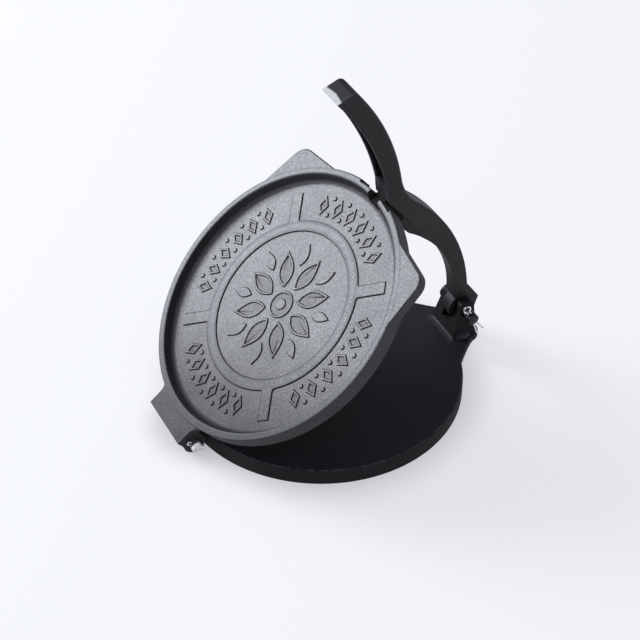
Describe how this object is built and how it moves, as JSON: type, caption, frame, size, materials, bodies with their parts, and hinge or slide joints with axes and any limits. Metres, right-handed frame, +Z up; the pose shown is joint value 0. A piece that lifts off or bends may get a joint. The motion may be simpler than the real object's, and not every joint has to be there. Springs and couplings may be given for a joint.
{
  "type": "tortilla press",
  "caption": "Round cast-iron hand press: a flat base plate, a hinged lid plate with a recessed top and two corner ears, and a curved lever in a fork.",
  "frame": {"origin": "centre of the base disc, on the table", "axes": "+X from the lid hinge towards the lever, +Z up out of the base disc, +Y to the left when looking along +X"},
  "size_m": [0.2477, 0.203, 0.246],
  "materials": {
    "base_iron": "seasoned, smooth ground top",
    "lid_iron": "seasoned, grainy as-cast",
    "lever_iron": "seasoned, grainy as-cast",
    "pin_steel": "dull turned steel",
    "wire_steel": "bright zinc-plated wire"
  },
  "bodies": {
    "base": {"base_plate": "base_iron", "hinge_pin": "pin_steel", "hinge_cotter": "wire_steel", "lever_pin": "pin_steel", "lever_cotter": "wire_steel"},
    "lid": {"top_plate": "lid_iron"},
    "lever": {"press_lever": "lever_iron"}
  },
  "joints": [
    {"name": "lid_hinge", "type": "hinge", "parent": "base", "child": "lid", "pos_m": [-0.10935, 0, 0.0083], "axis": [0, -1, 0], "range_deg": [-39.75, 52]},
    {"name": "lever_pivot", "type": "hinge", "parent": "base", "child": "lever", "pos_m": [0.1125, 0, 0.032], "axis": [0, 1, 0], "range_deg": [0, 72]}
  ]
}
